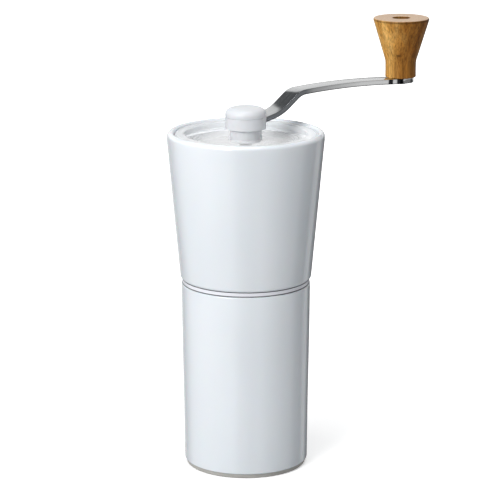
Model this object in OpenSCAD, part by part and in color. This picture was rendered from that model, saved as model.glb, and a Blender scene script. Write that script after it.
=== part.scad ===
// Hand crank coffee grinder: a porcelain mill standing on a porcelain jar, with a conical
// ceramic burr set, a clear lid and a removable steel crank with a turned wooden knob.
// Millimetres, +Z up. The origin is the centre of the face that the grinder stands on.
// The crank points along +X.

/* [Jar] */
// Outer radius of the jar at its foot
jar_foot_r = 30.1; // [28:0.1:31]
// Outer radius of the jar at its rim
jar_rim_r = 31.3; // [31.2:0.1:33]
// Height of the jar's rim above the table
jar_top = 91.3; // [90.8:0.1:91.3]
// Height that the foot pad holds the jar off the table
pad_show = 2.2; // [1.5:0.1:3]

/* [Mill body] */
// Outer radius of the mill body where it meets the seam ring
body_foot_r = 31.7; // [31.6:0.1:33]
// Widest radius of the mill body, just under its lip
body_rim_r = 38; // [37.9:0.1:40]
// Height of the lip above the table
body_top = 165.6; // [165.6:0.1:168]
// Height of the seam ring that shows between the two bodies
seam_h = 2; // [1.8:0.1:2.1]

/* [Burrs] */
// Number of fine teeth on the inner burr
inner_teeth = 20; // [12:1:24]
// Number of teeth on the outer burr
outer_teeth = 24; // [12:1:30]
// Radial gap between the two burrs at the finest setting
burr_gap = 0.3; // [0.2:0.05:0.6]

/* [Crank] */
// Distance from the shaft's axis to the knob's axis
crank_reach = 98.5; // [90:0.5:110]
// Width of the crank's flat bar
arm_w = 9.6; // [7:0.1:9.6]
// Thickness of the crank's flat bar
arm_t = 2.5; // [1.5:0.1:2.5]
// Radius of the eye that carries the knob
eye_r = 6.35; // [5:0.05:7]

/* [Knob] */
// Height of the wooden knob
knob_h = 29.8; // [24:0.1:36]
// Radius of the knob at its foot
knob_foot_r = 7.85; // [7:0.05:9]
// Radius of the knob near its top
knob_rim_r = 14.2; // [12:0.1:18]
// Radius of the recess in the knob's top
knob_recess_r = 4.5; // [4.3:0.1:6]

/* [Hidden] */
$fn = 96;

// Clearances
slip = 0.05;   // running fit round the shaft and the pin
glue = 0.1;    // glue line between a shell and the plastic in it

// Jar
pad_t = 3.4;                 // whole thickness of the foot pad
pad_r = jar_foot_r - 0.9;
jar_wall_r = 27;             // inside of the jar
jar_floor = 8;               // inside floor
collar_z = 80;               // underside of the threaded collar
collar_r = 27.6;             // outside of the threaded collar

// Seam and thread
seam_z = jar_top + 0.2;
seam_r = 30.9;
body_foot = seam_z + seam_h;
thread_pitch = 3;
male_root_r = 23.95;
male_crest_r = 25.1;
female_root_r = 25.3;
female_crest_r = 24.15;
thread_steps = 48;           // facets in one turn
thread_z = 84.55;            // where the male ridge starts; the female one starts half a pitch lower

// Mill frame
burr_seat_r = 19.75;
skirt_z = 83.4;
ledge_z = 97.6;              // underside of the ledge above the outer burr
throat_r = 12.5;
bowl_r = 22;
bowl_top = 106;
spigot_r = 27.9;
hub_z = 104;                 // underside of the spider's hub
hub_h = 6;
hub_bore_r = 4.6;
screw_ring_r = 21.75;        // where the retainer's screws stand

// Funnel and lid
seat_z = 158.4;              // ledge in the mill body that carries the funnel
funnel_rim_r = 34.5;
funnel_mouth_r = 31.3;
lid_z = 160.3;               // underside of the lid's floor
lid_top = 165.1;
lid_r = 34.3;
lid_hole_r = 8.4;

// Shaft
shaft_r = 3;
shaft_flat = 2.5;            // half the width over the shaft's flats
shaft_z = 74;
flats_z = 76.2;              // the shaft's flats run from here, through the grind nut and the burr,
flats_top = 100;             // up to here
shaft_top = 166.2;
clip_z = 75.2;
burr_z = 82.5;               // underside of the inner burr
carrier_r = 5;

// Crank
neck_z = 160.9;
neck_r = 7.66;
hub_foot = 167.1;
hub_line = 172.9;
cap_h = 4.9;
crank_hub_r = 9.85;
arm_hub_z = 170.85;          // middle of the bar inside the hub

// The bar's side outline, from the hub outwards: [length, radius, turn].
// A radius of 0 is a straight run; a turn is in degrees, and positive bends upwards.
arm_path = [
    [7.5, 0, 0], [0, 6, 12.7], [5.3, 0, 0], [0, 23.6, 23.3], [6.4, 0, 0],
    [0, 10.2, -33.7], [0, 445, -7.4], [0, 20, 5.1], [30, 0, 0]
];

// Knob
arm_line = arm_steps(arm_path, 0, [0, arm_hub_z, 0]);
eye_top = arm_line[len(arm_line) - 1][1] + arm_t / 2;
washer_t = 0.3;
knob_z = eye_top + 0.12;     // the washer sits in a pocket in the knob's foot
pocket_top = eye_top + washer_t + 0.05;
knob_top = knob_z + knob_h;
recess_floor = knob_top - 10;
waist_z = knob_z + 8.1;
pin_r = 2.4;

// ---- helpers ----

// A quarter of a circle as points: centre, radius, first and last angle
function arc(c, r, a0, a1, n = 8) =
    [for (i = [0:n]) let (a = a0 + (a1 - a0) * i / n) c + r * [cos(a), sin(a)]];

// A ring with square corners
module ring(r_out, r_in, z, h) {
    translate([0, 0, z]) difference() {
        cylinder(r = r_out, h = h);
        translate([0, 0, -1]) cylinder(r = r_in, h = h + 2);
    }
}

// A helical ridge: root and crest radii, height of its middle at the start, turns.
// It has a trapezoid section, and its root is sunk by `sink` into the wall it stands on.
module thread_ridge(root_r, crest_r, z0, turns, sink) {
    root_w = 1.7;
    crest_w = 0.9;
    back_r = root_r + (root_r > crest_r ? sink : -sink);
    n = ceil(turns * thread_steps);
    section = [
        [back_r, -root_w / 2], [crest_r, -crest_w / 2],
        [crest_r, crest_w / 2], [back_r, root_w / 2]
    ];
    order = root_r > crest_r ? [3, 2, 1, 0] : [0, 1, 2, 3];
    points = [
        for (i = [0:n]) let (a = 360 * turns * i / n, z = z0 + thread_pitch * turns * i / n)
            for (k = order) [section[k][0] * cos(a), section[k][0] * sin(a), z + section[k][1]]
    ];
    sides = [
        for (i = [0:n - 1]) for (k = [0:3]) let (a = 4 * i + k, b = 4 * i + (k + 1) % 4)
            each [[a, b, a + 4], [b, b + 4, a + 4]]
    ];
    ends = [[0, 2, 1], [0, 3, 2], [4 * n, 4 * n + 1, 4 * n + 2], [4 * n, 4 * n + 2, 4 * n + 3]];
    polyhedron(points = points, faces = concat(sides, ends), convexity = 6);
}

// ---- jar ----

module lower_body() {
    edge = 1.2;
    lip = 0.8;
    color("whitesmoke") rotate_extrude() polygon(concat(
        [[0, pad_show + 1.2], [pad_r + glue, pad_show + 1.2], [pad_r + glue, pad_show]],
        arc([jar_foot_r - edge, pad_show + edge], edge, -60, 0),
        arc([jar_rim_r - lip, jar_top - lip], lip, 0, 90),
        [[collar_r + glue, jar_top], [collar_r + glue, collar_z - 0.2], [jar_wall_r, collar_z - 1]],
        arc([jar_wall_r - 5, jar_floor + 5], 5, 0, -90),
        [[0, jar_floor]]
    ));
}

module foot_pad() {
    groove_r = 14;
    groove_w = 3;
    color("darkgray") rotate_extrude() polygon(concat(
        [[0, 0], [groove_r, 0], [groove_r, 0.8], [groove_r + groove_w, 0.8], [groove_r + groove_w, 0]],
        arc([pad_r - 0.6, 0.6], 0.6, -90, 0, 5),
        [[pad_r, pad_t - 0.1], [0, pad_t - 0.1]]
    ));
}

module jar_collar() {
    color("white") {
        ring(collar_r, female_root_r, collar_z, jar_top - 0.1 - collar_z);
        thread_ridge(female_root_r, female_crest_r, thread_z - thread_pitch / 2, 2, 0.5);
    }
}

module seal_ring() {
    color("lightgray") ring(29.9, 28, jar_top + 0.04, 1);
}

// ---- mill body and frame ----

module upper_body() {
    foot = 0.8;
    lip = 1.6;
    wall = 3.3;
    shoulder_z = body_top - 3.9;    // widest height
    color("whitesmoke") rotate_extrude() polygon(concat(
        arc([body_foot_r - foot, body_foot + foot], foot, -90, -5, 6),
        [[body_rim_r, shoulder_z]],
        arc([body_rim_r - 2.2, shoulder_z + 1.7], 2.2, 0, 90, 10),
        arc([body_rim_r - wall + 1, body_top - 1], 1, 90, 180, 6),
        [[body_rim_r - wall, seat_z], [33, seat_z], [33, seat_z - 1.4],
         [spigot_r + glue, 108], [spigot_r + glue, body_foot]]
    ));
}

module mill_frame() {
    soft = 0.35;
    color("white") difference() {
        union() {
            rotate_extrude() polygon(concat(
                [[burr_seat_r, skirt_z], [male_root_r, skirt_z], [male_root_r, seam_z]],
                arc([seam_r - soft, seam_z + soft], soft, -90, 0, 4),
                arc([seam_r - soft, body_foot - soft - 0.02], soft, 0, 90, 4),
                [[spigot_r, body_foot - 0.02], [spigot_r, bowl_top], [bowl_r, bowl_top],
                 [throat_r, 98.4], [throat_r, ledge_z], [burr_seat_r, ledge_z]]
            ));
            thread_ridge(male_root_r, male_crest_r, thread_z, 1.5, 0.5);
            ring(hub_bore_r + 2.8, hub_bore_r, hub_z, hub_h);
            for (a = [60, 180, 300]) rotate([0, 0, a]) spider_arm();
        }
        ring(25.5, 22.8, 98, 20);
        ring(29.98, 27.92, seam_z - 1, 2);
        for (a = [0:120:240]) rotate([0, 0, a]) translate([screw_ring_r, 0, skirt_z - 1])
            cylinder(r = 1, h = 9, $fn = 32);
    }
}

// One of the three ribs that hold the shaft's hub over the throat
module spider_arm() {
    rib_w = 3.4;
    translate([hub_bore_r + 2, -rib_w / 2, 102]) cube([13.4, rib_w, 4.6]);
}

module hopper_funnel() {
    wall = 1.6;
    foot_r = 23.1;
    color("white") rotate_extrude() polygon([
        [funnel_mouth_r, seat_z + 0.02], [bowl_r + 0.3, bowl_top + 1], [bowl_r + 0.3, bowl_top + 0.05],
        [foot_r, bowl_top + 0.05], [foot_r, 98.5], [25.2, 98.5], [25.2, bowl_top + 0.5],
        [funnel_mouth_r + wall - 0.2, seat_z - 0.8], [funnel_mouth_r + wall - 0.2, seat_z + 0.02],
        [funnel_rim_r, seat_z + 0.02], [funnel_rim_r, lid_z - 0.1], [funnel_mouth_r, lid_z - 0.1]
    ]);
}

module shaft_bushing() {
    color("ivory") {
        ring(hub_bore_r - 0.01, shaft_r + slip, hub_z, hub_h);
    }
}

// ---- burrs ----

// Cutters laid along a cone from [r0, z0] to [r1, z1]: V grooves of a given size, skewed round the cone
module cone_grooves(n, r0, z0, r1, z1, size, skew) {
    tilt = atan2(r1 - r0, z1 - z0);
    for (i = [0:n - 1]) rotate([0, 0, 360 * i / n])
        translate([(r0 + r1) / 2, 0, (z0 + z1) / 2]) rotate([0, tilt, 0]) rotate([skew, 0, 0])
            rotate([0, 0, 45]) cube([size, size, 2 * norm([r1 - r0, z1 - z0])], center = true);
}

module outer_burr() {
    color("linen") difference() {
        rotate_extrude() polygon([
            [19.6, skirt_z + 0.1], [19.6, ledge_z - 0.1], [12.6, ledge_z - 0.1],
            [13.4, 90], [17.4, skirt_z + 0.1]
        ]);
        cone_grooves(outer_teeth, 13.4, 90, 17.4, skirt_z, 1.1, 18);
    }
}

module burr_retainer() {
    color("silver") difference() {
        ring(23.4, 18, skirt_z - 1.5, 1.4);
        for (a = [0:120:240]) rotate([0, 0, a]) translate([screw_ring_r, 0, skirt_z - 3])
            cylinder(r = 1.15, h = 5, $fn = 32);
    }
}

module retainer_screws() {
    head_z = skirt_z - 1.5;
    color("gray") for (a = [0:120:240]) rotate([0, 0, a]) translate([screw_ring_r, 0, 0])
        difference() {
            union() {
                translate([0, 0, head_z - 1.3]) cylinder(r = 1.6, h = 1.28, $fn = 32);
                translate([0, 0, head_z - 0.1]) cylinder(r = 0.98, h = 7.5, $fn = 32);
            }
            for (b = [0, 90]) rotate([0, 0, b])
                translate([-1.1, -0.2, head_z - 1.9]) cube([2.2, 0.4, 1.2]);
        }
}

module inner_burr() {
    lower_r = 17.4 - burr_gap;
    upper_r = 13.4 - burr_gap;
    color("linen") difference() {
        rotate_extrude() polygon([
            [carrier_r + slip, burr_z], [lower_r, burr_z], [lower_r, 83.5], [upper_r, 90],
            [9, 93.5], [6.8, 95.5], [carrier_r + slip, 95.5]
        ]);
        cone_grooves(inner_teeth, lower_r, 83.5, upper_r, 90, 1, -24);
        for (i = [0:4]) rotate([0, 0, 72 * i]) translate([11.5, 0, 93]) rotate([0, -38, 0])
            rotate([-30, 0, 0]) translate([0, -1.7, -9]) cube([6, 3.4, 18]);
        for (a = [0, 180]) rotate([0, 0, a]) translate([0, -1.3, burr_z - 1]) cube([6.5, 2.6, 6]);
    }
}

// ---- jointed shaft and what rides on it ----

// The shaft's double-D section, grown by g
module shaft_section(g) {
    intersection() {
        circle(r = shaft_r + g);
        square([2 * (shaft_flat + g), 3 * shaft_r], center = true);
    }
}

module burr_carrier() {
    flange_z = burr_z - 3;
    color("white") difference() {
        union() {
            translate([0, 0, flange_z]) cylinder(r = 11, h = 2.9);
            translate([0, 0, flange_z]) cylinder(r = carrier_r, h = 16.4);
            for (a = [0, 180]) rotate([0, 0, a])
                translate([carrier_r - 1, -1.2, flange_z + 2]) cube([2.3, 2.4, 5.6]);
        }
        translate([0, 0, flange_z - 1]) linear_extrude(20) shaft_section(slip);
        for (a = [0:30:330]) rotate([0, 0, a])
            translate([6, 0, flange_z]) rotate([0, 90, 0]) cylinder(r = 0.5, h = 6, $fn = 24);
    }
}

module main_shaft() {
    color("silver") difference() {
        translate([0, 0, shaft_z]) cylinder(r = shaft_r, h = shaft_top - shaft_z);
        for (s = [-1, 1]) translate([s * (shaft_flat + 2), 0, (flats_z + flats_top) / 2])
            cube([4, 8, flats_top - flats_z], center = true);
        ring(shaft_r + 2, shaft_r - 0.6, clip_z - slip, 0.8 + 2 * slip);
    }
}

module shaft_collar() {
    color("silver") ring(5.2, shaft_r + 0.01, hub_z + hub_h + 0.1, 2);
}

// Hexagon nut on top of the shaft: the crank's socket drops over it
module drive_nut() {
    nut_h = 3.8;
    color("silver") translate([0, 0, shaft_top - nut_h]) difference() {
        intersection() {
            cylinder(r = 10 / sqrt(3), h = nut_h, $fn = 6);
            cylinder(r1 = 7.4, r2 = 4.9, h = nut_h);
        }
        translate([0, 0, -1]) cylinder(r = shaft_r + 0.01, h = nut_h + 2);
    }
}

module spring_washer() {
    color("silver") ring(6, shaft_r + 0.1, hub_z - 0.8, 0.7);
}

// Compression spring as one swept tube, its end turns closed up and flat
module burr_spring() {
    turns = 5;
    steps = 22;
    sides = 6;
    wire_r = 0.35;
    coil_r = 4.1;
    z0 = 96.2;                   // middle of the wire at the foot
    rise = 6.65;
    n = turns * steps;
    // Share of the height climbed after a share u of the length, with a dead turn at each end
    function climb(u) = let (t = (u * turns - 0.9) / (turns - 1.8)) min(max(t, 0), 1);
    pts = [
        for (i = [0:n]) let (u = i / n, a = 360 * turns * u, z = z0 + rise * 0.12 * u + rise * 0.88 * climb(u))
            for (k = [0:sides - 1]) let (b = 360 * k / sides)
                [(coil_r + wire_r * cos(b)) * cos(a), (coil_r + wire_r * cos(b)) * sin(a), z + wire_r * sin(b)]
    ];
    skin = [
        for (i = [0:n - 1]) for (k = [0:sides - 1])
            let (a = sides * i + k, b = sides * i + (k + 1) % sides)
                each [[a, b, a + sides], [b, b + sides, a + sides]]
    ];
    caps = [
        [for (k = [sides - 1:-1:0]) k],
        [for (k = [0:sides - 1]) sides * n + k]
    ];
    color("silver") polyhedron(points = pts, faces = concat(skin, caps), convexity = 10);
}

module shaft_clip() {
    color("gray") difference() {
        ring(5, shaft_r - 0.55, clip_z, 0.8);
        translate([2, -1.9, clip_z - 1]) cube([6, 3.8, 3]);
    }
}

// Star nut under the burr: turning it sets the grind
module grind_nut() {
    nut_h = 2;
    nut_z = burr_z - 3.1 - nut_h;
    color("white") difference() {
        translate([0, 0, nut_z]) cylinder(r = 9, h = nut_h);
        translate([0, 0, nut_z - 1]) cylinder(r = shaft_r + slip, h = nut_h + 2);
        for (a = [0:30:330]) rotate([0, 0, a])
            translate([10, 0, nut_z - 1]) cylinder(r = 1.9, h = nut_h + 2, $fn = 32);
    }
}

// ---- lid ----

module lid() {
    edge = 0.7;
    lip_t = 1.5;
    color("azure", 0.4) rotate_extrude() polygon(concat(
        [[lid_hole_r, lid_z + 0.1], [lid_hole_r, lid_z + 2.4], [lid_hole_r + 1.3, lid_z + 2.4],
         [lid_hole_r + 1.9, lid_z + 1.6], [23.4, lid_z + 1.6], [23.8, lid_z + 2], [25, lid_z + 2],
         [25.4, lid_z + 1.6], [31.2, lid_z + 1.6], [31.2, lid_top - lip_t]],
        arc([29.6 + edge, lid_top - lip_t + edge], edge, 270, 180, 4),
        arc([29.6 + edge, lid_top - edge], edge, 180, 90, 4),
        arc([lid_r - edge, lid_top - edge], edge, 90, 0, 6),
        [[lid_r, lid_top - lip_t - 0.2], [32.8, lid_top - lip_t - 0.2], [32.8, lid_z], [31, lid_z],
         [31, lid_z - 3], [29.6, lid_z - 3], [29.6, lid_z + 0.1]]
    ));
}

// ---- crank ----

// Middle line of the bar: [x, z, heading] after each short step
function arm_steps(path, i, at) =
    i == len(path) ? [at]
    : let (seg = path[i], n = seg[1] == 0 ? 1 : max(3, ceil(abs(seg[2]) / 2)))
        concat([for (k = [0:n - 1]) arm_move(at, seg, k / n)], arm_steps(path, i + 1, arm_move(at, seg, 1)));

function arm_move(at, seg, share) =
    seg[1] == 0
    ? [at[0] + share * seg[0] * cos(at[2]), at[1] + share * seg[0] * sin(at[2]), at[2]]
    : let (s = sign(seg[2]), h = at[2] + share * seg[2])
        [at[0] + s * seg[1] * (sin(h) - sin(at[2])), at[1] - s * seg[1] * (cos(h) - cos(at[2])), h];

module crank_arm() {
    mid = concat([[-crank_hub_r, arm_hub_z, 0]], arm_line);
    upper = [for (p = mid) [p[0] - arm_t / 2 * sin(p[2]), p[1] + arm_t / 2 * cos(p[2])]];
    lower = [for (i = [len(mid) - 1:-1:0]) let (p = mid[i])
        [p[0] + arm_t / 2 * sin(p[2]), p[1] - arm_t / 2 * cos(p[2])]];
    color("silver") difference() {
        intersection() {
            rotate([90, 0, 0]) translate([0, 0, -eye_r - 1]) linear_extrude(2 * eye_r + 2)
                polygon(concat(upper, lower));
            translate([0, 0, arm_hub_z - 10]) linear_extrude(40) {
                circle(r = arm_w / 2);
                translate([0, -arm_w / 2]) square([crank_reach, arm_w]);
                translate([crank_reach, 0]) circle(r = eye_r);
            }
        }
        translate([0, 0, arm_hub_z - 5]) cylinder(r = 1.65, h = 10, $fn = 32);
        translate([crank_reach, 0, eye_top - 6]) cylinder(r = pin_r + 0.02, h = 12, $fn = 48);
    }
}

module crank_hub() {
    slot_z = arm_hub_z - arm_t / 2 - 0.02;
    edge = 0.5;
    color("white") difference() {
        rotate_extrude() polygon(concat(
            [[0, neck_z], [neck_r - 0.3, neck_z], [neck_r, neck_z + 0.3], [neck_r, hub_foot]],
            arc([crank_hub_r - edge, hub_foot + edge], edge, -90, 0, 5),
            [[crank_hub_r, hub_line], [0, hub_line]]
        ));
        translate([0, 0, neck_z - 1]) cylinder(r = 10.2 / sqrt(3), h = 6.5, $fn = 6);
        translate([0, 0, slot_z]) cylinder(r = arm_w / 2 + 0.1, h = 5);
        translate([0, -arm_w / 2 - 0.1, slot_z]) cube([15, arm_w + 0.2, 5]);
        translate([0, 0, hub_foot]) cylinder(r = 1.45, h = 10, $fn = 32);
        for (a = [110, 180, 250]) rotate([0, 0, a])
            translate([7.4, 0, hub_line - 2.5]) cylinder(r = 1.1, h = 4, $fn = 24);
    }
}

module hub_screw() {
    head_z = arm_hub_z + arm_t / 2 + 0.02;
    color("gray") difference() {
        union() {
            translate([0, 0, head_z]) cylinder(r1 = 2.8, r2 = 2.3, h = 1.7, $fn = 48);
            translate([0, 0, hub_foot + 0.2]) cylinder(r = 1.43, h = head_z - hub_foot, $fn = 32);
        }
        for (b = [0, 90]) rotate([0, 0, b])
            translate([-1.7, -0.35, head_z + 0.8]) cube([3.4, 0.7, 2]);
    }
}

// The dome: a flat crown with a round shoulder, hollow over the screw's head
module hub_cap() {
    shoulder = 3.6;
    base = hub_line + 0.03;
    top = base + cap_h;
    crown = [for (i = [0:5]) let (u = i / 5) [u * (crank_hub_r - shoulder), top - 0.55 * u * u]];
    color("white") {
        difference() {
            rotate_extrude() polygon(concat(
                crown,
                [for (i = [1:9]) let (a = 90 - 10 * i)
                    [crank_hub_r - shoulder + shoulder * cos(a) , base + (cap_h - 0.55) * sin(a)]],
                [[crank_hub_r, base], [0, base]]
            ));
            translate([0, 0, base - 1]) cylinder(r = 4.2, h = 3.6);
        }
        for (a = [110, 180, 250]) rotate([0, 0, a])
            translate([7.4, 0, hub_line - 2.3]) cylinder(r = 1.05, h = 2.6, $fn = 24);
    }
}

// ---- knob ----

module knob_pin() {
    head_h = 1.6;
    color("silver") translate([crank_reach, 0, 0]) {
        translate([0, 0, eye_top - arm_t - 0.5]) cylinder(r = pin_r, h = recess_floor + 0.5 - eye_top + arm_t, $fn = 48);
        translate([0, 0, eye_top - arm_t - 0.9]) cylinder(r1 = 2.8, r2 = 3.6, h = 0.88, $fn = 48);
        translate([0, 0, recess_floor - 0.01]) cylinder(r1 = 3.9, r2 = 3.2, h = head_h, $fn = 48);
    }
}

module knob_washer() {
    color("silver") translate([crank_reach, 0, 0]) ring(6, pin_r + slip, eye_top + 0.02, washer_t - 0.04);
}

module knob_sleeve() {
    color("ivory") translate([crank_reach, 0, 0])
        ring(3.4, pin_r + slip, pocket_top + 0.02, recess_floor - pocket_top - 0.12);
}

module knob() {
    chamfer = 0.5;
    color("peru") translate([crank_reach, 0, 0]) rotate_extrude() polygon(concat(
        [[3.42, pocket_top], [6.2, pocket_top], [6.2, knob_z], [knob_foot_r - 0.4, knob_z], [knob_foot_r, knob_z + 0.4],
         [knob_foot_r - 0.1, waist_z - 0.8], [knob_foot_r + 0.05, waist_z + 0.4]],
        [[knob_rim_r - 0.1, knob_top - 1.1], [knob_rim_r, knob_top - 0.7]],
        [[knob_rim_r - chamfer, knob_top], [knob_recess_r + 0.3, knob_top], [knob_recess_r, knob_top - 0.3],
         [knob_recess_r, recess_floor - 0.05], [3.42, recess_floor - 0.05]]
    ));
}

lower_body();
foot_pad();
jar_collar();
seal_ring();
upper_body();
mill_frame();
hopper_funnel();
shaft_bushing();
outer_burr();
burr_retainer();
retainer_screws();
lid();
main_shaft();
shaft_collar();
drive_nut();
spring_washer();
burr_spring();
shaft_clip();
inner_burr();
burr_carrier();
grind_nut();
crank_arm();
crank_hub();
hub_screw();
hub_cap();
knob_pin();
knob_washer();
knob_sleeve();
knob();
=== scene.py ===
import math

import bmesh
import bpy
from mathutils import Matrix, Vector


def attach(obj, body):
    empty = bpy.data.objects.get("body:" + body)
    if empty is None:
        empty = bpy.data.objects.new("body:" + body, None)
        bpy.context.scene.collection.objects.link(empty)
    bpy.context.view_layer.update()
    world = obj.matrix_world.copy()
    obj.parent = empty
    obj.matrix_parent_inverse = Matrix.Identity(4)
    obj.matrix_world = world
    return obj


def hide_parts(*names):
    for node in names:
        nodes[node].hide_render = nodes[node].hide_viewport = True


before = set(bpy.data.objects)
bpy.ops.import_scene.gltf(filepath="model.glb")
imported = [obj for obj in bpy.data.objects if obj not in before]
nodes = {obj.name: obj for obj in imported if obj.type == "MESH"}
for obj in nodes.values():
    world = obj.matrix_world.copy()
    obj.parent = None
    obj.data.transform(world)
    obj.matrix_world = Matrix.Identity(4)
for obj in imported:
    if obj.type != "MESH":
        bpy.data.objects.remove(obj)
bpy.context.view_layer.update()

mm = 0.001
bpy.ops.object.select_all(action="DESELECT")


# ---- Camera ----
# A long lens at eye height over a table, turned so that the crank points right and a little away.
view_turn = math.radians(38)
look_down = math.radians(13.951)
stand_off, eye_height = 1.1669, 0.3968
ahead = Vector((math.sin(view_turn), math.cos(view_turn), 0))
right = Vector((math.cos(view_turn), -math.sin(view_turn), 0))
bpy.ops.object.camera_add(
    location=2.03 * mm * right - stand_off * ahead + Vector((0, 0, eye_height)),
    rotation=(math.pi / 2 - look_down, 0, -view_turn),
)
camera = bpy.context.object
camera.name = "camera"
camera.data.lens = 178.2
camera.data.clip_start = 0.05
bpy.context.scene.camera = camera


# ---- Table, light and surroundings ----
# A white table in a white room. A broad soft lamp stands on the left in front and another hangs
# overhead. The walls are bright and dark panels, which the glaze and the steel reflect.
def add_node(material, kind, **inputs):
    """A new node of that kind, with its own sockets set."""
    node = material.node_tree.nodes.new(kind)
    for socket, value in inputs.items():
        node.inputs[socket.replace("_", " ")].default_value = value
    return node


def join(material, start, end):
    """Links an output socket to an input socket."""
    material.node_tree.links.new(start, end)


def ramp(material, source, stops):
    """Colours or greys along a pattern: stops is a list of (position, colour)."""
    scale = add_node(material, "ShaderNodeValToRGB")
    marks = scale.color_ramp.elements
    for i, (position, colour) in enumerate(stops):
        mark = marks[0] if i == 0 else marks.new(position) if i < len(stops) - 1 else marks[len(marks) - 1]
        mark.position = position
        mark.color = (*colour, 1) if isinstance(colour, tuple) else (colour, colour, colour, 1)
    join(material, source, scale.inputs["Fac"])
    return scale.outputs["Color"]


def sum_of(material, kind, *values):
    """A mathematics node fed by outputs or plain numbers."""
    node = add_node(material, "ShaderNodeMath")
    node.operation = kind
    for socket, value in zip(node.inputs, values):
        if isinstance(value, (int, float)):
            socket.default_value = value
        else:
            join(material, value, socket)
    return node.outputs[0]


def blend(material, amount, under, over, kind="MIX"):
    """One colour over another: each of the three is an output or a plain value."""
    node = add_node(material, "ShaderNodeMix")
    node.data_type, node.blend_type = "RGBA", kind
    for number, value in ((0, amount), (6, under), (7, over)):
        if isinstance(value, bpy.types.NodeSocket):
            join(material, value, node.inputs[number])
        else:
            node.inputs[number].default_value = value
    return node.outputs[2]


room = bpy.data.worlds.new("room")
room.use_nodes = True
bpy.context.scene.world = room
bpy.context.scene.view_settings.view_transform = "Standard"
direction = add_node(room, "ShaderNodeTexCoord").outputs["Generated"]
split = add_node(room, "ShaderNodeSeparateXYZ")
join(room, direction, split.inputs["Vector"])
bearings = []
for axis in (right, ahead):
    along = add_node(room, "ShaderNodeVectorMath")
    along.operation = "DOT_PRODUCT"
    join(room, direction, along.inputs[0])
    along.inputs[1].default_value = axis
    bearings.append(along.outputs["Value"])
# Once round the room: straight behind the grinder is 0.5, the left is 0.25 and the right is 0.75
around_room = sum_of(room, "MULTIPLY_ADD", sum_of(room, "ARCTAN2", *bearings), 0.5 / math.pi, 0.5)
low_wall = ramp(room, around_room, [
    (0.0, 0.03), (0.035, 0.05), (0.06, 0.85), (0.22, 0.80), (0.33, 0.60), (0.36, 0.12),
    (0.42, 0.12), (0.44, 0.75), (0.475, 0.75), (0.495, 0.06), (0.592, 0.04), (0.604, 0.70),
    (0.64, 0.70), (0.66, 0.16), (0.72, 0.20), (0.75, 0.80), (0.94, 0.85), (0.965, 0.05), (1.0, 0.03),
])
high_wall = ramp(room, around_room, [
    (0.0, 0.55), (0.2, 1.05), (0.42, 1.0), (0.58, 1.0), (0.70, 0.50), (0.85, 0.25), (1.0, 0.45),
])
ceiling = ramp(room, split.outputs["Z"], [(0.0, 1.0), (0.66, 1.0), (0.74, 0.0), (1.0, 0.0)])
# A dark screen stands high up behind on the left
screen_across = ramp(room, around_room, [(0.24, 0.0), (0.27, 1.0), (0.430, 1.0), (0.444, 0.0)])
screen_up = ramp(room, split.outputs["Z"], [(0.38, 0.0), (0.46, 1.0)])
screen = sum_of(room, "MULTIPLY", screen_across, screen_up)
lit = sum_of(room, "MULTIPLY", ceiling, sum_of(room, "SUBTRACT", 1.0, screen))
upper_room = blend(room, lit, (0.12, 0.125, 0.13, 1), high_wall)
eye_level = sum_of(room, "MULTIPLY_ADD", split.outputs["Z"], 5.0, 0.5)
above_table = ramp(room, eye_level, [(0.3, 0.0), (0.7, 1.0)])
backdrop = room.node_tree.nodes["Background"]
join(room, blend(room, above_table, low_wall, upper_room), backdrop.inputs["Color"])
backdrop.inputs["Strength"].default_value = 0.9
white_card = add_node(room, "ShaderNodeBackground", Color=(1, 1, 1, 1), Strength=1.0)
looked_at = add_node(room, "ShaderNodeLightPath").outputs["Is Camera Ray"]
either = add_node(room, "ShaderNodeMixShader")
join(room, looked_at, either.inputs["Fac"])
join(room, backdrop.outputs["Background"], either.inputs[1])
join(room, white_card.outputs["Background"], either.inputs[2])
join(room, either.outputs["Shader"], room.node_tree.nodes["World Output"].inputs["Surface"])

bpy.ops.mesh.primitive_plane_add(size=6)
table_top = bpy.context.object
table_top.name = "table_top"
table_paint = bpy.data.materials.new("table_paint")
table_paint.use_nodes = True
table_shader = table_paint.node_tree.nodes["Principled BSDF"]
table_shader.inputs["Roughness"].default_value = 0.9
table_shader.inputs["Specular IOR Level"].default_value = 0.1
table_shader.inputs["Emission Color"].default_value = (1, 1, 1, 1)
# Painted light: to the camera the table is near white and glows, weaker close to the grinder and full far off.
# To the lamps and the grinder it is mid grey.
table_seen = add_node(table_paint, "ShaderNodeLightPath").outputs["Is Camera Ray"]
join(table_paint, ramp(table_paint, table_seen, [(0, (0.52, 0.53, 0.54)), (1, (0.96, 0.96, 0.96))]),
     table_shader.inputs["Base Color"])
reach = add_node(table_paint, "ShaderNodeVectorMath")
reach.operation = "LENGTH"
join(table_paint, add_node(table_paint, "ShaderNodeTexCoord").outputs["Object"], reach.inputs[0])
painted_far_glow = ramp(table_paint, reach.outputs["Value"], [(0.05, 0.42), (0.22, 0.55), (0.7, 0.95), (1.0, 1.0)])
join(table_paint, sum_of(table_paint, "MULTIPLY", table_seen, painted_far_glow),
     table_shader.inputs["Emission Strength"])
table_top.data.materials.append(table_paint)
table_top.visible_glossy = False


def soft_light(name, place, aim, size, watts, colour=(1, 1, 1)):
    """A square soft light that faces a point."""
    turn = (aim - place).to_track_quat("-Z", "Y").to_euler()
    bpy.ops.object.light_add(type="AREA", location=place, rotation=turn)
    lamp = bpy.context.object
    lamp.name = name
    lamp.data.size, lamp.data.energy, lamp.data.color = size, watts, colour
    lamp.visible_camera = False


middle = Vector((0, 0, 0.12))
soft_light("key_light", middle - 0.62 * right - 0.88 * ahead + Vector((0, 0, 0.55)), middle, 0.6, 8.6,
           (1, 0.99, 0.985))
soft_light("top_light", Vector((0, 0, 1.15)) - 0.15 * ahead, middle, 0.5, 5.5)
bpy.ops.object.select_all(action="DESELECT")
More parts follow.
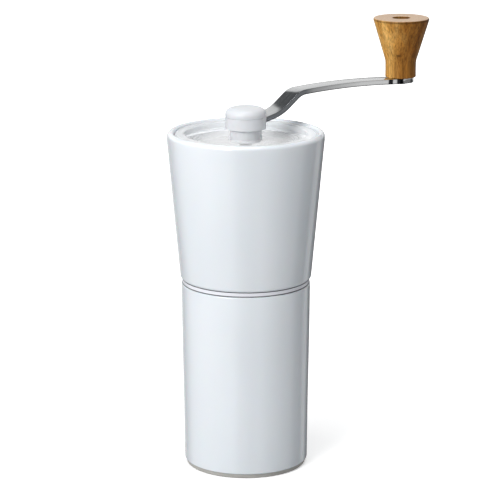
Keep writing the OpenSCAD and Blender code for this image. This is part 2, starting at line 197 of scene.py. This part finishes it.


# ---- Porcelain jar ----
# A slip-cast porcelain beaker, glazed inside and out; its foot ring, bare on the real beaker where it stood
# in the kiln, wears the same glaze here. Its walls lean out a little. It takes the ground coffee.
def turned(name, outline, around=192, at=0.0):
    """A round piece, turned from its outline of (radius, height, corner rounding) in millimetres."""
    bpy.ops.object.select_all(action="DESELECT")
    bpy.ops.mesh.primitive_plane_add(size=mm)
    piece = bpy.context.object
    piece.name = piece.data.name = name
    bpy.ops.object.mode_set(mode="EDIT")
    bpy.ops.mesh.select_all(action="SELECT")
    bpy.ops.mesh.merge(type="CENTER")
    bpy.ops.transform.translate(value=(outline[0][0] * mm, 0, outline[0][1] * mm))
    is_ring = outline[0][0] > 0
    for here, there in zip(outline, outline[1:] + outline[:1] if is_ring else outline[1:]):
        step = ((there[0] - here[0]) * mm, 0, (there[1] - here[1]) * mm)
        bpy.ops.mesh.extrude_vertices_move(TRANSFORM_OT_translate={"value": step})
    bpy.ops.mesh.select_all(action="SELECT")
    bpy.ops.mesh.remove_doubles(threshold=1e-7)
    for i, corner in enumerate(outline):
        if len(corner) < 3:
            continue
        here = Vector(corner[:2])
        turn = (here - Vector(outline[i - 1][:2])).angle(Vector(outline[(i + 1) % len(outline)][:2]) - here)
        shape = bmesh.from_edit_mesh(piece.data)
        for v in shape.verts:
            v.select_set((v.co - Vector((here.x * mm, 0, here.y * mm))).length < 1e-6)
        bmesh.update_edit_mesh(piece.data)
        bpy.ops.mesh.bevel(
            offset=corner[2] * mm * math.tan(turn / 2), segments=max(2, math.ceil(math.degrees(turn) / 11)),
            affect="VERTICES",
        )
    bpy.ops.mesh.select_all(action="SELECT")
    bpy.ops.mesh.spin(steps=around, angle=2 * math.pi, center=(0, 0, 0), axis=(0, 0, 1))
    bpy.ops.mesh.select_all(action="SELECT")
    bpy.ops.mesh.remove_doubles(threshold=1e-7)
    bpy.ops.mesh.normals_make_consistent(inside=False)
    bpy.ops.transform.translate(value=(at * mm, 0, 0))
    bpy.ops.object.mode_set(mode="OBJECT")
    bpy.ops.object.shade_smooth_by_angle(angle=math.radians(32))
    return piece


def finish(name, colour, roughness, metal=0.0):
    """A new material and its main shader."""
    material = bpy.data.materials.new(name)
    material.use_nodes = True
    shader = material.node_tree.nodes["Principled BSDF"]
    shader.inputs["Base Color"].default_value = (*colour, 1)
    shader.inputs["Roughness"].default_value = roughness
    shader.inputs["Metallic"].default_value = metal
    return material, shader


def grain(material, scale, detail, stretch=(1, 1, 1)):
    """A noise pattern fixed in the piece, stretched along an axis where stretch is small."""
    place = add_node(material, "ShaderNodeTexCoord")
    fit = add_node(material, "ShaderNodeMapping", Scale=stretch)
    join(material, place.outputs["Object"], fit.inputs["Vector"])
    noise = add_node(material, "ShaderNodeTexNoise", Scale=scale, Detail=detail)
    join(material, fit.outputs["Vector"], noise.inputs["Vector"])
    return noise


def relief(material, shader, *layers):
    """Bumps laid over each other: each layer is (height output, depth in metres, strength)."""
    below = None
    for height, depth, strength in layers:
        bump = add_node(material, "ShaderNodeBump", Strength=strength, Distance=depth)
        join(material, height, bump.inputs["Height"])
        if below:
            join(material, below, bump.inputs["Normal"])
        below = bump.outputs["Normal"]
    join(material, below, shader.inputs["Normal"])


def paint(piece, material):
    """The piece wears this material alone."""
    piece.data.materials.clear()
    piece.data.materials.append(material)


glaze, glaze_shader = finish("porcelain_glaze", (0.79, 0.835, 0.875), 0.12)
glaze_shader.inputs["Coat Weight"].default_value = 0.25
glaze_shader.inputs["Coat Roughness"].default_value = 0.04
glaze_shader.inputs["Subsurface Weight"].default_value = 0.08
glaze_shader.inputs["Subsurface Scale"].default_value = 0.002
pooling = grain(glaze, 38, 1.5, (1, 1, 0.5))
join(glaze, ramp(glaze, pooling.outputs["Fac"], [(0.3, (0.775, 0.82, 0.86)), (0.7, (0.805, 0.845, 0.885))]),
     glaze_shader.inputs["Base Color"])
orange_peel = grain(glaze, 420, 1)
join(glaze, ramp(glaze, grain(glaze, 90, 3).outputs["Fac"], [(0.3, 0.10), (0.75, 0.19)]),
     glaze_shader.inputs["Roughness"])
relief(glaze, glaze_shader, (pooling.outputs["Fac"], 0.0006, 0.10),
       (orange_peel.outputs["Fac"], 0.00006, 0.10))

jar = turned("jar_porcelain", [
    (0, 3.4), (29.3, 3.4), (29.3, 2.2, 0.15), (30.12, 2.2, 0.7), (30.42, 30), (30.8, 51), (31.12, 72),
    (31.3, 91.3, 0.9), (27.75, 91.3, 0.9), (27.75, 79.8, 0.3), (27, 79, 0.3), (27, 8, 5), (0, 8),
])
paint(jar, glaze)
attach(jar, "jar")
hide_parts("lower_body")


# ---- Foot pad ----
# A grey-beige silicone disc pressed on under the jar. Its edge shows as a thin band, and a
# groove in its face lets it flex and grip.
pad_rubber, pad_shader = finish("pad_silicone", (0.46, 0.45, 0.42), 0.62)
pad_dust = grain(pad_rubber, 260, 4)
join(pad_rubber, ramp(pad_rubber, pad_dust.outputs["Fac"],
                      [(0.3, (0.42, 0.41, 0.385)), (0.7, (0.50, 0.49, 0.46))]),
     pad_shader.inputs["Base Color"])
relief(pad_rubber, pad_shader, (grain(pad_rubber, 1800, 2).outputs["Fac"], 0.00004, 0.4))
pad = turned("foot_disc", [
    (0, 0), (14, 0, 0.3), (14, 0.8, 0.2), (17, 0.8, 0.2), (17, 0, 0.3), (29.2, 0, 0.7), (29.2, 3.3), (0, 3.3),
])
paint(pad, pad_rubber)
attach(pad, "jar")
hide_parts("foot_pad")


# ---- Threaded collar, seal and mill frame ----
# White injection-moulded plastic. The collar is bonded in the jar's mouth; the frame carries the
# burrs and the shaft's bearing, and its flange shows as a light band between the two bodies.
moulded, moulded_shader = finish("white_moulding", (0.71, 0.73, 0.755), 0.38)
moulded_shader.inputs["Subsurface Weight"].default_value = 0.06
moulded_shader.inputs["Subsurface Scale"].default_value = 0.001
flow = grain(moulded, 70, 2)
join(moulded, ramp(moulded, flow.outputs["Fac"], [(0.3, (0.69, 0.71, 0.74)), (0.7, (0.725, 0.745, 0.77))]),
     moulded_shader.inputs["Base Color"])
join(moulded, ramp(moulded, grain(moulded, 500, 3).outputs["Fac"], [(0.3, 0.34), (0.7, 0.44)]),
     moulded_shader.inputs["Roughness"])
relief(moulded, moulded_shader, (grain(moulded, 3000, 2).outputs["Fac"], 0.00002, 0.25))
for name in ("jar_collar", "burr_carrier", "grind_nut"):
    paint(nodes[name], moulded)

frame_white, frame_shader = finish("frame_moulding", (0.88, 0.89, 0.95), 0.22)
join(frame_white, ramp(frame_white, grain(frame_white, 70, 2).outputs["Fac"],
                       [(0.3, (0.86, 0.87, 0.93)), (0.7, (0.90, 0.91, 0.965))]),
     frame_shader.inputs["Base Color"])
relief(frame_white, frame_shader, (grain(frame_white, 3000, 2).outputs["Fac"], 0.00002, 0.2))
paint(nodes["mill_frame"], frame_white)

bearing, bearing_shader = finish("acetal", (0.70, 0.66, 0.55), 0.32)
relief(bearing, bearing_shader, (grain(bearing, 1500, 2).outputs["Fac"], 0.00003, 0.3))
for name in ("shaft_bushing", "knob_sleeve"):
    paint(nodes[name], bearing)

paint(nodes["seal_ring"], pad_rubber)


# ---- Burrs ----
# Unglazed white ceramic, pressed and fired, then ground. The ring stands still in the frame and
# the cone turns inside it.
bisque, bisque_shader = finish("burr_ceramic", (0.74, 0.71, 0.64), 0.7)
bisque_grit = grain(bisque, 1300, 5)
join(bisque, ramp(bisque, bisque_grit.outputs["Fac"],
                  [(0.3, (0.68, 0.65, 0.58)), (0.65, (0.77, 0.74, 0.68))]),
     bisque_shader.inputs["Base Color"])
relief(bisque, bisque_shader, (bisque_grit.outputs["Fac"], 0.0001, 0.35))
for name in ("outer_burr", "inner_burr"):
    paint(nodes[name], bisque)


# ---- Shaft and its hardware ----
# Turned stainless steel: the shaft with its flats, a collar, the hexagon drive nut, washers,
# the spring, the clip and the retainer with its screws.
turned_steel, steel_shader = finish("turned_steel", (0.56, 0.56, 0.55), 0.28, metal=1.0)
lathe_marks = grain(turned_steel, 900, 2, (0.15, 0.15, 6))
join(turned_steel, ramp(turned_steel, lathe_marks.outputs["Fac"], [(0.3, 0.2), (0.75, 0.42)]),
     steel_shader.inputs["Roughness"])
relief(turned_steel, steel_shader, (lathe_marks.outputs["Fac"], 0.00003, 0.3))
for name in ("main_shaft", "shaft_collar", "drive_nut", "spring_washer", "burr_spring", "shaft_clip",
             "burr_retainer", "retainer_screws", "hub_screw", "knob_pin", "knob_washer"):
    paint(nodes[name], turned_steel)


# ---- Bean funnel ----
# A white moulded liner that drops into the porcelain and guides the beans down to the burrs.
liner, liner_shader = finish("liner_moulding", (0.92, 0.925, 0.93), 0.35)
join(liner, ramp(liner, grain(liner, 60, 2).outputs["Fac"],
                 [(0.3, (0.91, 0.915, 0.92)), (0.7, (0.93, 0.935, 0.94))]), liner_shader.inputs["Base Color"])
relief(liner, liner_shader, (grain(liner, 700, 2).outputs["Fac"], 0.00002, 0.1))
paint(nodes["hopper_funnel"], liner)


# ---- Porcelain mill body ----
# Slip-cast porcelain, glazed like the jar, widening to a thick rounded lip. It is open at both
# ends; the frame is bonded in its foot.
mill_body = turned("mill_porcelain", [
    (28, 93.5, 0.4), (31.7, 93.5, 1.7), (37.98, 162.0), (37.9, 165.6, 1.9), (34.7, 165.6, 1.35),
    (34.7, 158.4, 0.3), (33, 158.4, 0.3), (33, 157), (28, 108),
])
paint(mill_body, glaze)
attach(mill_body, "mill")
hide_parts("upper_body")


# ---- Seam joints ----
# Two thin dark rings are painted shade for the shadowed gaps either side of the frame's flange. The upper ring
# is given as a bead of adhesive under the mill body, and the lower ring as the edge of the silicone seal above
# the jar.
gap_shade_dark, gap_shade_shader = finish("gap_shade_dark", (0.10, 0.105, 0.11), 0.6)
gap_shade_grit = grain(gap_shade_dark, 900, 3)
join(gap_shade_dark, ramp(gap_shade_dark, gap_shade_grit.outputs["Fac"],
                        [(0.3, (0.085, 0.09, 0.10)), (0.7, (0.13, 0.135, 0.14))]),
     gap_shade_shader.inputs["Base Color"])
shade_ring_in, shade_ring_out, shade_ring_h = 30.5, 31.05, 0.36
for name, foot, body in (("glue_gap_shade", 93.32, "mill"), ("seal_gap_shade", 91.28, "seal")):
    bead = turned(name, [
        (shade_ring_in, foot, 0.05), (shade_ring_out, foot, 0.1),
        (shade_ring_out, foot + shade_ring_h, 0.1), (shade_ring_in, foot + shade_ring_h, 0.05),
    ], around=128)
    paint(bead, gap_shade_dark)
    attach(bead, body)


# ---- Lid ----
# Clear moulded plastic: a raised rim that rests inside the lip, a lower floor with a bead round
# it, and a hole that the crank's neck turns in.
clear, clear_shader = finish("clear_moulding", (0.90, 0.915, 0.93), 0.12)
ramp_r = 36    # both ramps below run from the axis out to this radius
clean, bead_edge_painted_shade, rim_painted_grey = (0.93, 0.94, 0.95), (0.40, 0.42, 0.45), (0.66, 0.68, 0.71)
flat_place = add_node(clear, "ShaderNodeMapping", Scale=(1, 1, 0))
join(clear, add_node(clear, "ShaderNodeTexCoord").outputs["Object"], flat_place.inputs["Vector"])
from_axis = add_node(clear, "ShaderNodeVectorMath")
from_axis.operation = "LENGTH"
join(clear, flat_place.outputs["Vector"], from_axis.inputs[0])
out_to_rim = sum_of(clear, "MULTIPLY", from_axis.outputs["Value"], 1 / (ramp_r * mm))
# Both ramps make the edges of the floor's bead more opaque and paint dark lines there, and grey the plastic
# towards the rim. This is painted shade for the way the clear plastic bends the light at its edges.
join(clear, ramp(clear, out_to_rim, [
    (0.0, 0.18), (0.638, 0.18), (0.650, 0.50), (0.665, 0.22), (0.700, 0.22), (0.712, 0.50),
    (0.726, 0.18), (0.805, 0.20), (0.822, 0.45), (0.86, 0.62), (0.93, 0.62), (1.0, 0.66),
]), clear_shader.inputs["Alpha"])
join(clear, ramp(clear, out_to_rim, [
    (0.0, clean), (0.640, clean), (0.651, bead_edge_painted_shade), (0.664, clean), (0.700, clean), (0.712, bead_edge_painted_shade),
    (0.726, clean), (0.842, (0.90, 0.91, 0.92)), (0.93, (0.80, 0.82, 0.84)), (0.96, rim_painted_grey),
]), clear_shader.inputs["Base Color"])
join(clear, ramp(clear, grain(clear, 120, 3).outputs["Fac"], [(0.3, 0.10), (0.75, 0.20)]),
     clear_shader.inputs["Roughness"])
relief(clear, clear_shader, (grain(clear, 60, 1).outputs["Fac"], 0.0003, 0.03))
lid = turned("clear_lid", [
    (8.4, 160.4, 0.3), (8.4, 162.7, 0.3), (9.7, 162.7, 0.4), (10.3, 161.9, 0.4), (23.3, 161.9, 0.3),
    (23.8, 162.3, 0.3), (25, 162.3, 0.3), (25.5, 161.9, 0.3), (29.5, 161.9, 0.5), (29.5, 164.9, 0.8),
    (34.2, 164.9, 1.1), (34.2, 163.2, 0.3), (32.8, 163.2, 0.3), (32.8, 160.3, 0.3), (31, 160.3, 0.3),
    (31, 157.3, 0.4), (29.7, 157.3, 0.4), (29.7, 160.4, 0.4),
])
paint(lid, clear)
lid.visible_shadow = False    # it lets the light through to the funnel
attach(lid, "lid")
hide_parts("lid")


# ---- Crank hub and cap ----
# Two white mouldings. The hub's neck has a hexagon socket that drops over the drive nut, and a
# slot that the crank's bar is screwed into; the domed cap snaps on and hides the screw.
paint(nodes["crank_hub"], moulded)
cap = turned("hub_dome", [
    (0, 172.93), (9.85, 172.93, 0.25), (9.88, 175.9, 2.6), (7.2, 177.4, 5.0), (0, 177.8),
], around=128)
paint(cap, moulded)
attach(cap, "crank")
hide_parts("hub_cap")


# ---- Crank bar ----
# A stainless flat bar, blanked with a round eye, its edges broken, then pressed into its long
# double bend and brushed along its length.
bar_w, bar_t, eye_r = 9.6, 2.5, 6.55
eye_x = 98.5
hub_z = 170.85
# Each run of the bar: length of a straight, or radius and turn in degrees of a bend
bar_runs = (
    (7.5, 0), (6, 12.7), (5.3, 0), (23.6, 23.3), (6.4, 0), (10.2, -33.7), (445, -7.4), (20, 5.1), (40, 0),
)


def along_bar(length):
    """Where the middle of the bar is after that length: (x, z, heading)."""
    x, z, heading = 0.0, hub_z, 0.0
    if length < 0:
        return length, z, heading
    for size, degrees in bar_runs:
        turn = math.radians(degrees)
        whole = size * abs(turn) if degrees else size
        part = min(length, whole)
        if degrees:
            bend = math.copysign(part / size, turn)
            side = math.copysign(size, turn)
            x += side * (math.sin(heading + bend) - math.sin(heading))
            z -= side * (math.cos(heading + bend) - math.cos(heading))
            heading += bend
        else:
            x += part * math.cos(heading)
            z += part * math.sin(heading)
        length -= part
        if length <= 0:
            break
    return x, z, heading


# Where the flat blank is cut across: round its hidden end, along the bar, then round the eye
bar_end = 0.0
while along_bar(bar_end)[0] < eye_x:
    bar_end += 0.02
neck_in = math.sqrt(eye_r ** 2 - (bar_w / 2) ** 2)
stations = [-bar_w / 2 * math.cos(math.radians(a)) for a in range(4, 90, 8)]
straight_end = bar_end - neck_in
bar_steps, eye_steps = 130, 30
stations += [i * straight_end / bar_steps for i in range(bar_steps + 1)]
eye_start = math.degrees(math.atan2(bar_w / 2, -neck_in))
for i in range(1, eye_steps):
    stations.append(bar_end + eye_r * math.cos(math.radians(eye_start * (1 - i / eye_steps))))


def half_width(length):
    """Half the flat bar's width at that length: a round end, the straight run, then the eye."""
    if length < 0:
        return math.sqrt(max(0.01, (bar_w / 2) ** 2 - length ** 2))
    if length <= straight_end + 1e-6:
        return bar_w / 2
    return math.sqrt(max(0.01, eye_r ** 2 - (length - bar_end) ** 2))


bpy.ops.object.select_all(action="DESELECT")
bpy.ops.mesh.primitive_plane_add(size=mm)
bar = bpy.context.object
bar.name = bar.data.name = "crank_bar"
bpy.ops.object.mode_set(mode="EDIT")
bpy.ops.mesh.select_all(action="SELECT")
bpy.ops.mesh.merge(type="CENTER")
bpy.ops.transform.translate(value=(stations[0] * mm, -half_width(stations[0]) * mm, 0))
bpy.ops.mesh.extrude_vertices_move(TRANSFORM_OT_translate={"value": (0, 2 * half_width(stations[0]) * mm, 0)})
bpy.ops.mesh.select_all(action="SELECT")
for here, there in zip(stations, stations[1:]):
    bpy.ops.mesh.extrude_edges_move(TRANSFORM_OT_translate={"value": ((there - here) * mm, 0, 0)})
    bpy.ops.transform.resize(value=(1, half_width(there) / half_width(here), 1))
bpy.ops.mesh.select_all(action="SELECT")
bpy.ops.transform.translate(value=(0, 0, -bar_t / 2 * mm))
bpy.ops.mesh.extrude_region_move(TRANSFORM_OT_translate={"value": (0, 0, bar_t * mm)})
bpy.ops.mesh.select_all(action="SELECT")
bpy.ops.mesh.normals_make_consistent(inside=False)
bpy.ops.object.mode_set(mode="OBJECT")
edge_break = bar.modifiers.new("edge_break", "BEVEL")
edge_break.width = 0.35 * mm
edge_break.segments = 3
edge_break.limit_method = "ANGLE"
edge_break.angle_limit = math.radians(40)
bpy.ops.object.modifier_apply(modifier="edge_break")
# The blank's own length and width are kept as its unrolled position, then it is bent
flat = bmesh.new()
flat.from_mesh(bar.data)
unrolled = flat.loops.layers.uv.verify()
narrow_sides = [face.index for face in flat.faces if abs(face.normal.z) <= 0.9]
for face in flat.faces:
    for corner in face.loops:
        corner[unrolled].uv = (corner.vert.co.x, corner.vert.co.y + corner.vert.co.z)
flat.to_mesh(bar.data)
flat.free()
for v in bar.data.vertices:
    x, z, heading = along_bar(v.co.x / mm)
    height = v.co.z / mm
    v.co = Vector(((x - height * math.sin(heading)) * mm, v.co.y, (z + height * math.cos(heading)) * mm))
bpy.ops.object.shade_smooth_by_angle(angle=math.radians(32))


def strokes_on(material, scale, detail):
    """Fine scratches that follow the bar round its bends."""
    place = add_node(material, "ShaderNodeTexCoord")
    fit = add_node(material, "ShaderNodeMapping", Scale=(0.035, 1, 1))
    join(material, place.outputs["UV"], fit.inputs["Vector"])
    noise = add_node(material, "ShaderNodeTexNoise", Scale=scale, Detail=detail)
    join(material, fit.outputs["Vector"], noise.inputs["Vector"])
    return noise.outputs["Fac"]


brushed, brushed_shader = finish("brushed_bar", (0.63, 0.635, 0.64), 0.25, metal=1.0)
strokes = strokes_on(brushed, 1400, 3)
join(brushed, ramp(brushed, strokes, [(0.3, 0.12), (0.75, 0.24)]), brushed_shader.inputs["Roughness"])
join(brushed, ramp(brushed, strokes, [(0.3, (0.50, 0.515, 0.52)), (0.7, (0.62, 0.63, 0.635))]),
     brushed_shader.inputs["Base Color"])
relief(brushed, brushed_shader, (strokes, 0.00003, 0.3))
# The narrow sides are polished, and their colour is painted reflection: dark near the hub and brighter further
# out, with two dark bands near the eye.
polished_painted, polished_painted_shader = finish("polished_edge_painted_reflection", (0.64, 0.645, 0.65), 0.12, metal=1.0)
fine_strokes = strokes_on(polished_painted, 2000, 2)
join(polished_painted, ramp(polished_painted, fine_strokes, [(0.3, 0.10), (0.75, 0.22)]), polished_painted_shader.inputs["Roughness"])
unrolled_place = add_node(polished_painted, "ShaderNodeSeparateXYZ")
join(polished_painted, add_node(polished_painted, "ShaderNodeTexCoord").outputs["UV"], unrolled_place.inputs["Vector"])
painted_reflection_len, side_span = 120, 14
run_out = sum_of(polished_painted, "MULTIPLY", unrolled_place.outputs["X"], 1 / (painted_reflection_len * mm))
across_side = sum_of(polished_painted, "MULTIPLY_ADD", unrolled_place.outputs["Y"], 1 / (side_span * mm), 0.5)
dim_painted_reflection, bright, dark = (0.17, 0.18, 0.19), (0.74, 0.745, 0.75), (0.02, 0.022, 0.025)
painted_reflection_stops = [(0.0, dim_painted_reflection), (0.30, dim_painted_reflection), (0.34, (0.36, 0.365, 0.37)), (0.47, (0.55, 0.555, 0.56)), (0.60, bright)]
# Two painted dark reflection bands near the end, as distances before the eye's centre in millimetres
soft_edge = 0.4
for band_from, band_to in ((11.9, 9.4), (6.3, 3.2)):
    for place, tone in ((-band_from - soft_edge, bright), (-band_from, dark), (-band_to, dark),
                        (-band_to + soft_edge, bright)):
        painted_reflection_stops.append(((bar_end + place) / painted_reflection_len, tone))
# Painted shade: a dark line along the lower edge of the side that faces the front
lower_edge_painted_shade = ramp(polished_painted, across_side, [(0.085, 0.30), (0.115, 1.0)])
join(polished_painted, blend(polished_painted, 1.0, ramp(polished_painted, run_out, painted_reflection_stops), lower_edge_painted_shade, "MULTIPLY"),
     polished_painted_shader.inputs["Base Color"])
relief(polished_painted, polished_painted_shader, (fine_strokes, 0.00001, 0.2))
paint(bar, brushed)
bar.data.materials.append(polished_painted)
for i in narrow_sides:
    bar.data.polygons[i].material_index = 1
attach(bar, "crank")
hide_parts("crank_arm")


# ---- Knob ----
# Turned hardwood with its grain running up the knob: a straight foot, a cone that widens to the
# top, and a blind hole over the pin's head. It has a thin satin lacquer.
knob_foot, pocket_top, knob_top = 181.68, 181.92, 211.48
hole_r, hole_deep, sleeve_r = 4.5, 10.05, 3.42
knob = turned("turned_knob", [
    (sleeve_r, pocket_top, 0.1), (6.2, pocket_top, 0.1), (6.2, knob_foot, 0.15), (7.7, knob_foot, 0.45),
    (7.66, knob_foot + 4), (7.72, knob_foot + 8.2, 7.0), (14.03, knob_top - 0.8, 0.35),
    (13.75, knob_top, 0.3), (hole_r, knob_top, 0.35), (hole_r, knob_top - hole_deep, 0.3),
    (sleeve_r, knob_top - hole_deep),
], around=160, at=eye_x)
wood, wood_shader = finish("knob_wood", (0.42, 0.22, 0.06), 0.42)
wood_place = add_node(wood, "ShaderNodeTexCoord")
wood_fit = add_node(wood, "ShaderNodeMapping", Location=((24 - eye_x) * mm, 0.016, 0), Scale=(1, 1, 0.09))
join(wood, wood_place.outputs["Object"], wood_fit.inputs["Vector"])
rings = add_node(wood, "ShaderNodeTexWave", Scale=60, Distortion=2.2, Detail=2.0)
rings.inputs["Detail Scale"].default_value = 0.6
rings.wave_type = "RINGS"
rings.rings_direction = "Z"
join(wood, wood_fit.outputs["Vector"], rings.inputs["Vector"])
fibres = grain(wood, 1100, 4, (1, 1, 0.022))
patches = grain(wood, 190, 3, (1, 1, 0.06))
flecks = grain(wood, 2600, 2, (1, 1, 0.12))
colours = ramp(wood, patches.outputs["Fac"], [
    (0.28, (0.56, 0.240, 0.040)), (0.5, (0.80, 0.410, 0.092)), (0.72, (0.97, 0.60, 0.20)),
])
across = add_node(wood, "ShaderNodeVectorMath")
across.operation = "DOT_PRODUCT"
join(wood, wood_place.outputs["Object"], across.inputs[0])
across.inputs[1].default_value = right
# Painted shade: the wood is darker towards the right as the camera sees it
shade_slope = 36.0
shade_start = 0.5 - shade_slope * eye_x * mm * right.x
right_side_painted_shade = sum_of(wood, "MULTIPLY_ADD", across.outputs["Value"], shade_slope, shade_start)
knob_up = add_node(wood, "ShaderNodeSeparateXYZ")
join(wood, wood_place.outputs["Object"], knob_up.inputs["Vector"])
near_top = sum_of(wood, "MULTIPLY_ADD", knob_up.outputs["Z"], 1 / mm, 0.65 - knob_top)
end_grain = ramp(wood, near_top, [(0.35, 0.0), (0.6, 1.0)])
rim_band = sum_of(wood, "ABSOLUTE", sum_of(wood, "MULTIPLY_ADD", knob_up.outputs["Z"], 1 / mm, 0.75 - knob_top))
# A small flat knot low on the front
knot_flat, knot_r = 2.6, 2.0
knot_place = add_node(wood, "ShaderNodeMapping", Location=(-0.0918, 0.0057, -0.1936 * knot_flat),
                      Scale=(1, 1, knot_flat))
join(wood, wood_place.outputs["Object"], knot_place.inputs["Vector"])
from_knot = add_node(wood, "ShaderNodeVectorMath")
from_knot.operation = "LENGTH"
join(wood, knot_place.outputs["Vector"], from_knot.inputs[0])
knot = sum_of(wood, "MULTIPLY", from_knot.outputs["Value"], 1 / (knot_r * mm))
# Each pattern darkens the wood where it is low, and a painted shade darkens it towards the right
for pattern, stops in (
    (rings.outputs["Fac"], [(0.30, 0.88), (0.62, 1.0)]),
    (fibres.outputs["Fac"], [(0.36, 0.60), (0.58, 1.0)]),
    (flecks.outputs["Fac"], [(0.36, 0.62), (0.50, 1.0)]),
    (rim_band, [(0.25, 0.52), (0.75, 1.0)]),
    (knot, [(0.25, 0.45), (0.65, 1.0)]),
    (right_side_painted_shade, [(0.22, 1.0), (0.60, (0.46, 0.34, 0.20))]),
):
    colours = blend(wood, 1.0, colours, ramp(wood, pattern, stops), "MULTIPLY")
sawn = ramp(wood, fibres.outputs["Fac"], [(0.3, (0.50, 0.34, 0.22)), (0.65, (0.62, 0.45, 0.31))])
join(wood, blend(wood, end_grain, colours, sawn), wood_shader.inputs["Base Color"])
relief(wood, wood_shader, (fibres.outputs["Fac"], 0.00014, 0.8), (flecks.outputs["Fac"], 0.00006, 0.6))
wood_shader.inputs["Specular IOR Level"].default_value = 0.12
wood_shader.inputs["Coat Weight"].default_value = 0.03
wood_shader.inputs["Coat Roughness"].default_value = 0.3
paint(knob, wood)
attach(knob, "knob")
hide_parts("knob")
